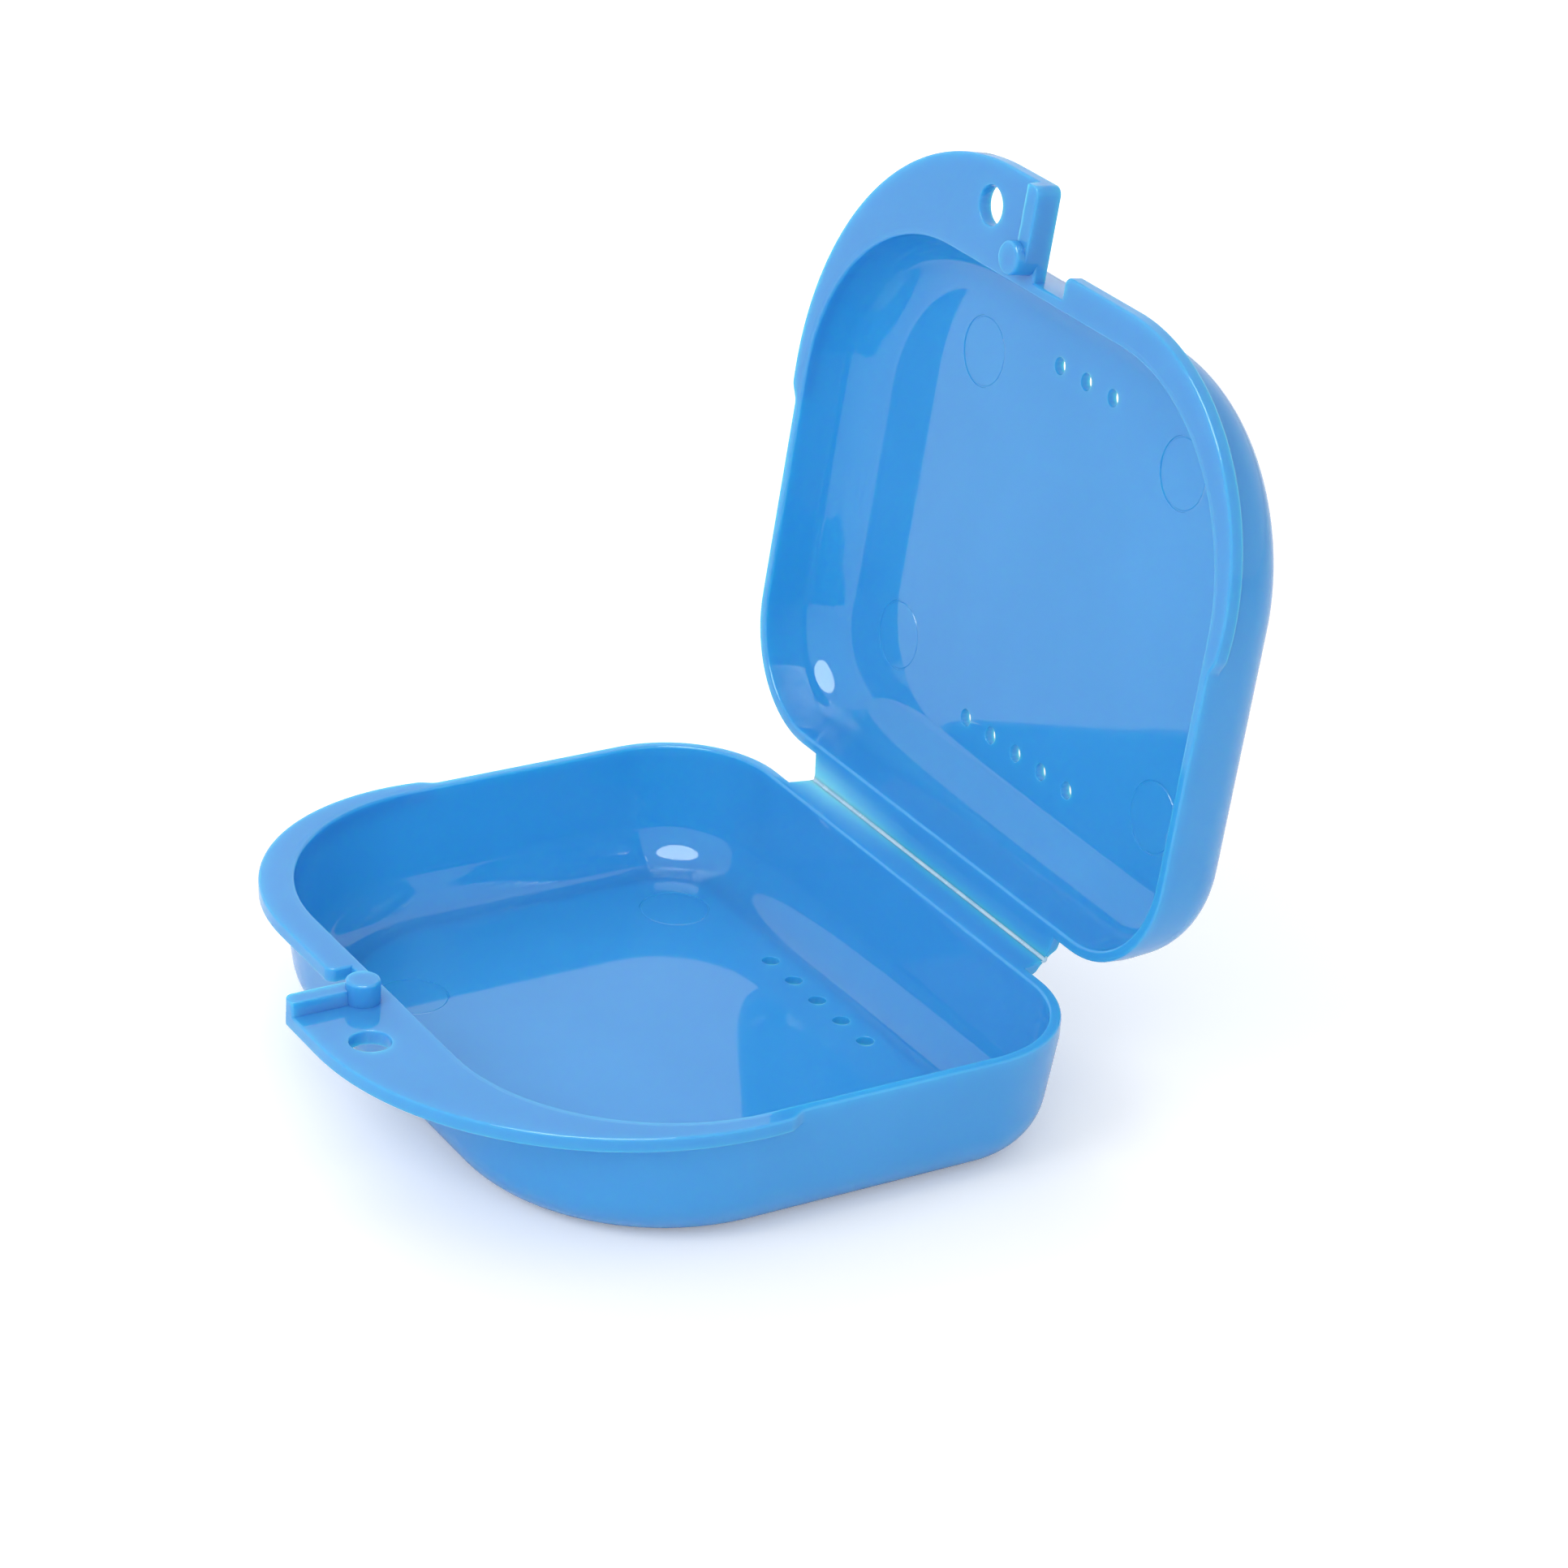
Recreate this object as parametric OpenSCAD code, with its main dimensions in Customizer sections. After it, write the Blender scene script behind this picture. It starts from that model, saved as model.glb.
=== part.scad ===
// Clamshell case for a dental retainer, moulded in one piece with a living hinge.
// Units are millimetres, Z is up and the origin is the centre of the base's resting face.
// The two halves share one plan. The lid is the base turned half a turn about the
// front-to-back line, then swung open about the fold.

/* [Tray] */
// Outside width of the rim, side to side
rim_width = 80.4; // [76:0.2:84]
// Outside depth of the rim, hinge side to front
rim_depth = 63.2; // [58:0.2:70]
// Plan radius of the two corners beside the hinge
rear_radius = 13; // [12:0.5:17]
// Plan radius of the two front corners
front_radius = 23.8; // [20:0.1:25]
// Inside depth of the base
base_depth = 13.5; // [12.5:0.1:18]
// Inside depth of the lid
lid_depth = 9; // [8.5:0.1:13]
// Thickness of walls and floors
wall = 1.2; // [1:0.1:1.6]
// Radius between the wall and the floor, inside
floor_radius = 5.5; // [4.5:0.1:7]
// Slope of the walls away from upright, in degrees
wall_slope = 8; // [4:1:10]

/* [Flanges] */
// Thickness of the two front flanges
flange = 1.6; // [1.2:0.1:2]
// Reach of the thumb tab in front of the rim
tab_reach = 10.2; // [9.5:0.1:13]
// Radius of the thumb tab's curved edge
tab_radius = 33.5; // [32:0.5:36]
// Reach of the narrow lip in front of the rim
lip_reach = 2.6; // [2.3:0.1:4]
// Radius of the narrow lip's corner
lip_radius = 24.5; // [23:0.5:28]
// How far the rim's upright band reaches below the flanges
band_step = 0.2; // [0.1:0.1:0.6]
// How far both flanges stand out at the sides
side_reach = 1.1; // [0.6:0.1:1.5]
// Distance from the rim's front to the step where the flanges end
flange_run = 26.2; // [24:0.1:28]
// Rounding of the flanges' corners at the notch
tip_radius = 1; // [0.6:0.1:1.2]
// Gap between the tab and the lip
notch_width = 5.3; // [4.8:0.1:6]
// Diameter of the tag hole in each tab
hole_d = 4.3; // [3:0.1:5]
// Sideways distance of the tag hole from the tab's edge
hole_side = 9.85; // [8:0.05:11]
// Distance of the tag hole in front of the rim
hole_front = 5.2; // [4:0.1:6]

/* [Latch] */
// Height of the latch rail above the tab
rail_height = 1.5; // [1.2:0.1:2]
// Width of the latch rail at its top
rail_top = 2; // [1.6:0.1:2.2]
// Width of the latch rail at its foot
rail_foot = 2.3; // [2.2:0.1:3.6]
// Diameter of the latch post
post_d = 3.7; // [3.6:0.1:4]
// Height of the latch post above the tab
post_height = 2.5; // [2.1:0.1:3]
// Gap kept between a latch piece and the other half when closed
latch_gap = 0.3; // [0.2:0.05:0.5]

/* [Hinge] */
// Length of the fold
fold_length = 47.5; // [40:0.5:48]
// Length of each hinge leaf where it meets its wall
leaf_length = 48.5; // [47:0.5:50]
// Thickness of each hinge leaf
leaf = 1.2; // [0.8:0.1:1.5]
// Distance from the fold to the walls
leaf_reach = 2.7; // [2.5:0.1:4]
// Diameter of the thickened line of the fold
fold_d = 0.6; // [0.5:0.05:0.7]
// Gap between the fold line and the lid's leaf
fold_gap = 0.2; // [0.15:0.05:0.3]
// Gap between the two rims when closed
rim_gap = 0.2; // [0.1:0.05:0.4]
// How far the lid stands open from closed, in degrees
open_angle = 97; // [60:1:180]

/* [Floor marks] */
// Diameter of the vent holes
vent_d = 1.9; // [1.5:0.1:2.5]
// Spacing of the vent holes
vent_pitch = 5; // [4:0.1:6]
// Number of vent holes in the row beside the hinge
rear_vents = 5; // [3:2:5]
// Number of vent holes in the row at the front
front_vents = 3; // [1:2:3]
// Distance of the hinge-side row from the rim's hinge side
rear_vent_inset = 9.9; // [9.8:0.1:12]
// Distance of the front row from the rim's front
front_vent_inset = 10.9; // [10.2:0.1:13]
// Diameter of the round moulding marks
mark_d = 8; // [6:0.5:9]
// Depth of the round moulding marks
mark_depth = 0.12; // [0.08:0.02:0.3]
// Distance of the marks beside the hinge from the rim's sides
rear_mark_side = 15; // [13.8:0.1:18]
// Distance of those marks from the rim's hinge side
rear_mark_inset = 13.5; // [13.2:0.1:18]
// Distance of the marks at the front from the rim's sides
front_mark_side = 21.3; // [18.5:0.1:24]
// Distance of those marks from the rim's front
front_mark_inset = 14.1; // [13.5:0.1:18]

/* [Hidden] */
half_gap = rim_gap / 2;
half_width = rim_width / 2;
rim_back = -leaf_reach;
rim_front = -leaf_reach - rim_depth;
rim_band = flange + band_step;
rear_x = half_width - rear_radius;
rear_y = rim_back - rear_radius;
front_x = half_width - front_radius;
front_y = rim_front + front_radius;
outer_radius = floor_radius + wall;
rim_wall = wall / cos(wall_slope);
flange_end = rim_front + flange_run;
tab_edge = latch_gap / 2;
tab_front = rim_front - tab_reach;
tab_side = half_width + side_reach;
lip_front = rim_front - lip_reach;
lip_start = tab_edge - notch_width;
post_x = tab_edge + post_d / 2;
post_y = rim_front - latch_gap - post_d / 2;
leaf_end = fold_d / 2 + fold_gap;
web = fold_d / 2;
origin_y = -(rim_back + rim_front) / 2;
origin_z = half_gap + base_depth + wall;
through = 1;
$fn = 96;

// Depth below the rim at which the sloping wall meets the rounded foot.
function slope_drop(d) = d - floor_radius + floor_radius * sin(wall_slope);
// How far the wall leans in over that depth.
function slope_run(d) = (slope_drop(d) - rim_band) * tan(wall_slope);
// How far in from the rim's outside the rounded foot would end on the flat floor.
function foot_in(d) = rim_wall + slope_run(d) + floor_radius * cos(wall_slope);
// The same in whole microns, so that the floor and the walls share one edge exactly.
function floor_in(d) = round(1000 * foot_in(d)) / 1000;

// Puts a base shape in the shared frame.
module in_base() {
  translate([0, origin_y, origin_z])
    children();
}

// Turns a base shape over into the lid and swings it open about the fold.
module in_lid() {
  translate([0, origin_y, origin_z])
    rotate([-open_angle, 0, 0])
      rotate([0, 180, 0])
        children();
}

// Plan of the rim's outside, drawn in by a distance.
module rim_plan(inset) {
  rear = rear_radius - inset;
  front = front_radius - inset;
  polygon([
    [rear_x, rim_back - inset], [half_width - inset, rear_y],
    [half_width - inset, front_y], [front_x, rim_front + inset],
    [-front_x, rim_front + inset], [-half_width + inset, front_y],
    [-half_width + inset, rear_y], [-rear_x, rim_back - inset]
  ]);
  for (side = [-1, 1]) {
    translate([side * rear_x, rear_y])
      circle(r = rear);
    translate([side * front_x, front_y])
      circle(r = front);
  }
}

// Section of a wall with its rounded foot. The rim's outside is at x = 0, its top at y = 0.
module wall_section(d) {
  centre_x = -floor_in(d);
  centre_z = -d + floor_radius;
  difference() {
    union() {
      polygon([
        [0, 0], [0, -rim_band],
        [centre_x + outer_radius * cos(wall_slope), centre_z - outer_radius * sin(wall_slope)],
        [centre_x, centre_z], [centre_x, 0]
      ]);
      intersection() {
        translate([centre_x, centre_z])
          circle(r = outer_radius);
        translate([centre_x, centre_z - 2 * outer_radius])
          square(2 * outer_radius);
      }
    }
    translate([centre_x, centre_z])
      circle(r = floor_radius);
    polygon([
      [-rim_wall, through], [-rim_wall, -rim_band],
      [centre_x + floor_radius * cos(wall_slope), centre_z - floor_radius * sin(wall_slope)],
      [centre_x, centre_z], [centre_x - through, centre_z], [centre_x - through, through]
    ]);
  }
}

// One rounded corner of a tray, a quarter turn about the corner's centre.
module corner(radius, d) {
  rotate_extrude(angle = 90)
    translate([radius, 0])
      wall_section(d);
}

// One straight wall of a tray, centred on the Y axis with its outside at x = 0.
module straight(length, d) {
  rotate([90, 0, 0])
    translate([0, 0, -length / 2])
      linear_extrude(length)
        wall_section(d);
}

// A whole half: walls, floor, vents and moulding marks.
module tray(d) {
  side_length = rim_depth - rear_radius - front_radius;
  side_y = (rear_y + front_y) / 2;
  difference() {
    translate([0, 0, -half_gap])
      union() {
        translate([rear_x, rear_y, 0])
          corner(rear_radius, d);
        translate([-rear_x, rear_y, 0])
          rotate([0, 0, 90])
            corner(rear_radius, d);
        translate([-front_x, front_y, 0])
          rotate([0, 0, 180])
            corner(front_radius, d);
        translate([front_x, front_y, 0])
          rotate([0, 0, 270])
            corner(front_radius, d);
        translate([half_width, side_y, 0])
          straight(side_length, d);
        translate([-half_width, side_y, 0])
          rotate([0, 0, 180])
            straight(side_length, d);
        translate([0, rim_back, 0])
          rotate([0, 0, 90])
            straight(2 * rear_x, d);
        translate([0, rim_front, 0])
          rotate([0, 0, -90])
            straight(2 * front_x, d);
        translate([0, 0, -d - wall])
          linear_extrude(wall)
            rim_plan(floor_in(d));
      }
    vents(d);
    marks(d);
  }
}

// The two rows of vent holes through a floor.
module vents(d) {
  start_z = -half_gap - d - wall - through;
  rear_row = rim_back - rear_vent_inset;
  front_row = rim_front + front_vent_inset;
  for (i = [0 : rear_vents - 1])
    translate([(i - (rear_vents - 1) / 2) * vent_pitch, rear_row, start_z])
      cylinder(d = vent_d, h = wall + 2 * through);
  for (i = [0 : front_vents - 1])
    translate([(i - (front_vents - 1) / 2) * vent_pitch, front_row, start_z])
      cylinder(d = vent_d, h = wall + 2 * through);
}

// The four round moulding marks in a floor.
module marks(d) {
  start_z = -half_gap - d - mark_depth;
  for (side = [-1, 1]) {
    translate([side * (half_width - rear_mark_side), rim_back - rear_mark_inset, start_z])
      cylinder(d = mark_d, h = through);
    translate([side * (half_width - front_mark_side), rim_front + front_mark_inset, start_z])
      cylinder(d = mark_d, h = through);
  }
}

// Plan of the wide crescent in front of one side of a tray.
module tab_plan() {
  centre_x = tab_side - tab_radius;
  difference() {
    union() {
      intersection() {
        translate([centre_x, tab_front + tab_radius])
          circle(r = tab_radius);
        translate([centre_x, tab_front - through])
          square([tab_radius + through, flange_end - tab_front + through]);
      }
      polygon([
        [tab_edge, tab_front + tip_radius], [tab_edge + tip_radius, tab_front],
        [centre_x, tab_front], [centre_x, rim_front + wall], [tab_edge, rim_front + wall]
      ]);
      translate([tab_edge + tip_radius, tab_front + tip_radius])
        circle(r = tip_radius);
    }
    rim_plan(0);
  }
}

// The thumb tab, with its tag hole.
module tab() {
  difference() {
    translate([0, 0, -half_gap - flange])
      linear_extrude(flange)
        tab_plan();
    translate([tab_edge + hole_side, rim_front - hole_front, -half_gap - flange - through])
      cylinder(d = hole_d, h = flange + 2 * through);
  }
}

// The narrow lip in front of the other side of a tray.
module lip() {
  centre_x = -tab_side + lip_radius;
  translate([0, 0, -half_gap - flange])
    linear_extrude(flange)
      difference() {
        union() {
          intersection() {
            translate([centre_x, lip_front + lip_radius])
              circle(r = lip_radius);
            translate([centre_x - lip_radius - through, lip_front - through])
              square([lip_radius + through, flange_end - lip_front + through]);
          }
          polygon([
            [centre_x, lip_front], [lip_start - tip_radius, lip_front],
            [lip_start, lip_front + tip_radius], [lip_start, rim_front + wall], [centre_x, rim_front + wall]
          ]);
          translate([lip_start - tip_radius, lip_front + tip_radius])
            circle(r = tip_radius);
        }
        rim_plan(0);
      }
}

// The raised rail along the tab's edge, rounded with the tab's tip and cut to the post.
module latch_rail() {
  difference() {
    intersection() {
      translate([0, post_y, -half_gap])
        rotate([90, 0, 0])
          linear_extrude(post_y - tab_front)
            polygon([
              [tab_edge, 0], [tab_edge + rail_foot, 0],
              [tab_edge + rail_top, rail_height], [tab_edge, rail_height]
            ]);
      translate([0, 0, -half_gap - through])
        linear_extrude(rail_height + 2 * through)
          tab_plan();
    }
    translate([post_x, post_y, -half_gap - through])
      cylinder(d = post_d, h = post_height + 2 * through);
  }
}

// The round post at the rail's inner end.
module latch_post() {
  translate([post_x, post_y, -half_gap])
    cylinder(d = post_d, h = post_height);
}

// The flat leaf between a wall and the fold.
module hinge_leaf() {
  translate([0, 0, -half_gap - leaf])
    linear_extrude(leaf)
      polygon([
        [-leaf_length / 2, rim_back], [leaf_length / 2, rim_back],
        [fold_length / 2, -leaf_end], [-fold_length / 2, -leaf_end]
      ]);
}

// The thin fold itself: a fine bead on the fold line and the film that carries it.
module fold_film() {
  rotate([0, 90, 0])
    translate([0, 0, -fold_length / 2])
      cylinder(d = fold_d, h = fold_length);
  difference() {
    translate([-fold_length / 2, -leaf_end, -half_gap - web])
      cube([fold_length, leaf_end, web]);
    rotate([0, 90, 0])
      translate([0, 0, -fold_length])
        cylinder(d = fold_d, h = 2 * fold_length);
  }
}

module base_shell() {
  color("royalblue") in_base() tray(base_depth);
}

module base_tab() {
  color("cornflowerblue") in_base() tab();
}

module base_lip() {
  color("cornflowerblue") in_base() lip();
}

module base_latch_rail() {
  color("dodgerblue") in_base() latch_rail();
}

module base_latch_post() {
  color("dodgerblue") in_base() latch_post();
}

module base_hinge_leaf() {
  color("deepskyblue") in_base() hinge_leaf();
}

module hinge_web() {
  color("lightskyblue") in_base() fold_film();
}

module lid_hinge_leaf() {
  color("deepskyblue") in_lid() hinge_leaf();
}

module lid_shell() {
  color("royalblue") in_lid() tray(lid_depth);
}

module lid_tab() {
  color("cornflowerblue") in_lid() tab();
}

module lid_lip() {
  color("cornflowerblue") in_lid() lip();
}

module lid_latch_rail() {
  color("dodgerblue") in_lid() latch_rail();
}

module lid_latch_post() {
  color("dodgerblue") in_lid() latch_post();
}

base_shell();
base_tab();
base_lip();
base_latch_rail();
base_latch_post();
base_hinge_leaf();
hinge_web();
lid_hinge_leaf();
lid_shell();
lid_tab();
lid_lip();
lid_latch_rail();
lid_latch_post();
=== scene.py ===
"""Dressed model of a clamshell retainer case on a pale studio floor.

Both halves are built in millimetres on the plan that they share, with the
fold along X and the front towards -Y, and are then set in the CAD frame.
"""

import logging
import math
from dataclasses import dataclass, field
from enum import Enum

import bmesh
import bpy
from mathutils import Matrix, Vector


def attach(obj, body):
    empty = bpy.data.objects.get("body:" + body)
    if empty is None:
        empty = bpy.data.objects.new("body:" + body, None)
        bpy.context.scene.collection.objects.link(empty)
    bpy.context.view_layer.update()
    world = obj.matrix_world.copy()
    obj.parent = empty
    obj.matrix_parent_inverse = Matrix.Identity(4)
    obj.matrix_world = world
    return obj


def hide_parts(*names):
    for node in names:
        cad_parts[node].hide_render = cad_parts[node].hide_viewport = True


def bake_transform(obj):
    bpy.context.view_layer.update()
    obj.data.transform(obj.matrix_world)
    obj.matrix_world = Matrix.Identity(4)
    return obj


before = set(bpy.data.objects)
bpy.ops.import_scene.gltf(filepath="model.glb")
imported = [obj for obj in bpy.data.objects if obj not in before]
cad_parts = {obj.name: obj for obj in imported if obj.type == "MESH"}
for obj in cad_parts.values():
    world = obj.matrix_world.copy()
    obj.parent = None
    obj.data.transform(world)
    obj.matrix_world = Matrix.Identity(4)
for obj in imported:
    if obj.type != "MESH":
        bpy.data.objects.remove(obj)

LOG = logging.getLogger("retainer_case")
MM = 0.001
Point = tuple[float, float]
Place = tuple[float, float, float]
Colour = tuple[float, float, float]
Tone = Colour | bpy.types.NodeSocket

# Cleaning of the meshes, in millimetres and degrees.
WELD_DISTANCE = 0.0015
SLIVER_LENGTH = 0.0005
SMALL_FACE = 0.4
# Least bend of an edge that is paled by wear and a painted highlight.
EDGE_MARK_BEND = 25.0
CREASE = 32.0
LEAST_MITRE = 0.5

# Steps in the quarter turn of a small rounded edge.
EDGE_STEPS = 4

PLASTIC_IOR = 1.49
WHOLE = (0.0, 1.0)
WHITE = (1.0, 1.0, 1.0)


class Half(Enum):
    """The two halves of the case."""

    BASE = "base"
    LID = "lid"


class Joining(Enum):
    """How one closed mesh is combined with another."""

    ADD = "UNION"
    CUT = "DIFFERENCE"


class LampUse(Enum):
    """Whether a lamp lights the case or is only mirrored in it."""

    LIGHTS = "lights"
    MIRRORED = "mirrored"


TRAY_DEPTHS = {Half.BASE: 13.5, Half.LID: 9.0}


def arc(centre: Point, radius: float, start: float, end: float, steps: int) -> list[Point]:
    """Gives the points of a circular arc, both ends included.

    Args:
        centre: Middle of the circle.
        radius: Radius of the circle.
        start: First angle in degrees.
        end: Last angle in degrees.
        steps: Number of chords.

    Returns:
        The points in order.
    """
    turns = [math.radians(start + (end - start) * i / steps) for i in range(steps + 1)]
    return [(centre[0] + radius * math.cos(a), centre[1] + radius * math.sin(a)) for a in turns]


def quarter(steps: int) -> list[float]:
    """Gives the angles of a quarter turn in radians, both ends included."""
    return [math.pi / 2 * i / steps for i in range(steps + 1)]


def drawn_in(loop: list[Point], distance: float) -> list[Point]:
    """Draws a closed counter-clockwise loop inwards, with mitred corners.

    Args:
        loop: Points of the loop.
        distance: How far each side moves in.

    Returns:
        The smaller loop, point for point.
    """
    moved = []
    for i, (x, y) in enumerate(loop):
        before = (Vector((x, y)) - Vector(loop[i - 1])).normalized()
        after = (Vector(loop[(i + 1) % len(loop)]) - Vector((x, y))).normalized()
        normals = Vector((-before.y - after.y, before.x + after.x))
        mitre = normals / max(LEAST_MITRE, 1.0 + before.dot(after))
        moved.append((x + mitre.x * distance, y + mitre.y * distance))
    return moved


def at_height(loop: list[Point], height: float) -> list[Vector]:
    """Lifts a flat loop to a height."""
    return [Vector((x, y, height)) for x, y in loop]


def linked(name: str, shape: bmesh.types.BMesh) -> bpy.types.Object:
    """Turns a finished bmesh into an object of the scene.

    Args:
        name: Name of the object.
        shape: The mesh, which is used up.

    Returns:
        The new object.
    """
    bmesh.ops.recalc_face_normals(shape, faces=shape.faces)
    mesh = bpy.data.meshes.new(name)
    shape.to_mesh(mesh)
    shape.free()
    made = bpy.data.objects.new(name, mesh)
    bpy.context.scene.collection.objects.link(made)
    return made


def stacked(name: str, loops: list[list[Vector]]) -> bpy.types.Object:
    """Builds a closed solid from loops of equal length, capped at both ends.

    Args:
        name: Name of the object.
        loops: Loops in order, each a list of points.

    Returns:
        The new object.
    """
    shape = bmesh.new()
    rings = [[shape.verts.new(p) for p in loop] for loop in loops]
    count = len(loops[0])
    for low, high in zip(rings, rings[1:]):
        for i in range(count):
            j = (i + 1) % count
            shape.faces.new((low[i], low[j], high[j], high[i]))
    shape.faces.new(list(reversed(rings[0])))
    shape.faces.new(rings[-1])
    return linked(name, shape)


def spun(name: str, profile: list[Point], centre: Point, sides: int) -> bpy.types.Object:
    """Builds a round solid about an upright axis.

    Args:
        name: Name of the object.
        profile: Radius and height of each ring, from the bottom up.
        centre: Place of the axis in plan.
        sides: Number of sides.

    Returns:
        The new object.
    """
    loops = []
    for radius, height in profile:
        ring = arc(centre, radius, 0.0, 360.0, sides)[:-1]
        loops.append(at_height(ring, height))
    return stacked(name, loops)


def rounded_plate(name: str, loop: list[Point], low: float, high: float,
                  edge: float) -> bpy.types.Object:
    """Builds a flat plate with rounded edges from its plan.

    Args:
        name: Name of the object.
        loop: Counter-clockwise plan.
        low: Height of the underside.
        high: Height of the top.
        edge: Radius of the edges.

    Returns:
        The new object.
    """
    turns = quarter(EDGE_STEPS)
    rows = [(edge - edge * math.sin(a), low + edge - edge * math.cos(a)) for a in turns]
    rows += [(edge - edge * math.cos(a), high - edge + edge * math.sin(a)) for a in turns]
    return stacked(name, [at_height(drawn_in(loop, inset), z) for inset, z in rows])


def combine(body: bpy.types.Object, tools: list[bpy.types.Object], joining: Joining) -> None:
    """Adds closed meshes to a body, or cuts them out of it, and removes them.

    Args:
        body: The object whose mesh changes.
        tools: The objects to add or cut with.
        joining: Which of the two is done.
    """
    for tool in tools:
        step = body.modifiers.new(tool.name, "BOOLEAN")
        step.operation = joining.value
        step.solver = "EXACT"
        step.object = tool
    seen = body.evaluated_get(bpy.context.evaluated_depsgraph_get())
    mesh = bpy.data.meshes.new_from_object(seen)
    body.modifiers.clear()
    old, body.data = body.data, mesh
    bpy.data.meshes.remove(old)
    for tool in tools:
        bpy.data.meshes.remove(tool.data)


def finish_mesh(piece: bpy.types.Object, place: Matrix, crease: float = CREASE) -> None:
    """Sets a millimetre mesh in the CAD frame, smooths it and marks the edges that get wear and a
    painted highlight.

    Args:
        piece: The object whose mesh is finished.
        place: Where it goes, in metres.
        crease: Angle in degrees above which an edge stays sharp.
    """
    shape = bmesh.new()
    shape.from_mesh(piece.data)
    bmesh.ops.remove_doubles(shape, verts=shape.verts, dist=WELD_DISTANCE)
    bmesh.ops.dissolve_degenerate(shape, edges=shape.edges, dist=SLIVER_LENGTH)
    bmesh.ops.recalc_face_normals(shape, faces=shape.faces)
    # Convex edges on small faces are marked to be paled: partly wear, partly a painted highlight.
    wear_and_highlight_layer = shape.verts.layers.float.new("wear_and_highlight_edge")
    for vert in shape.verts:
        bend = sum(max(0.0, e.calc_face_angle_signed(0.0)) for e in vert.link_edges)
        small = all(f.calc_area() < SMALL_FACE for f in vert.link_faces)
        vert[wear_and_highlight_layer] = 1.0 if small and bend > math.radians(EDGE_MARK_BEND) else 0.0
    for edge in shape.edges:
        edge.smooth = edge.calc_face_angle(math.pi) < math.radians(crease)
    for face in shape.faces:
        face.smooth = True
    loose = sum(1 for e in shape.edges if not e.is_manifold)
    shape.transform(place @ Matrix.Scale(MM, 4))
    shape.to_mesh(piece.data)
    shape.free()
    even = piece.modifiers.new("even_shading", "WEIGHTED_NORMAL")
    even.keep_sharp = True
    LOG.info("%s: %d faces, %d open edges", piece.name, len(piece.data.polygons), loose)


@dataclass(frozen=True)
class Fold:
    """Where the fold lies in the CAD frame and how far the lid stands open."""

    back: float = 34.3
    height: float = 14.8
    open_angle: float = 97.0

    def place(self, half: Half) -> Matrix:
        """Gives the move from the shared plan to the CAD frame, in metres.

        Args:
            half: The half to place.

        Returns:
            The matrix for that half at rest.
        """
        moved = Matrix.Translation((0.0, self.back * MM, self.height * MM))
        if half is Half.BASE:
            return moved
        swung = Matrix.Rotation(-math.radians(self.open_angle), 4, "X")
        return moved @ swung @ Matrix.Rotation(math.pi, 4, "Y")

    def point(self, y: float, z: float) -> Place:
        """Gives a point near the fold in the CAD frame, in metres."""
        return (0.0, (self.back + y) * MM, (self.height + z) * MM)


@dataclass(frozen=True)
class Pattern:
    """A noise pattern and the values that it is mapped onto.

    Attributes:
        scale: Patches in a metre.
        detail: Layers of finer pattern.
        span: The part of the noise that is used.
        result: Values at both ends of that part.
    """

    scale: float
    detail: float
    span: Point
    result: Point


@dataclass(frozen=True)
class Translucency:
    """How light spreads inside the plastic.

    Attributes:
        share: Part of the light that goes in.
        reach: How far it goes, in metres.
        channels: Reach of red, green and blue against one another.
    """

    share: float
    reach: float
    channels: Colour


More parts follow.
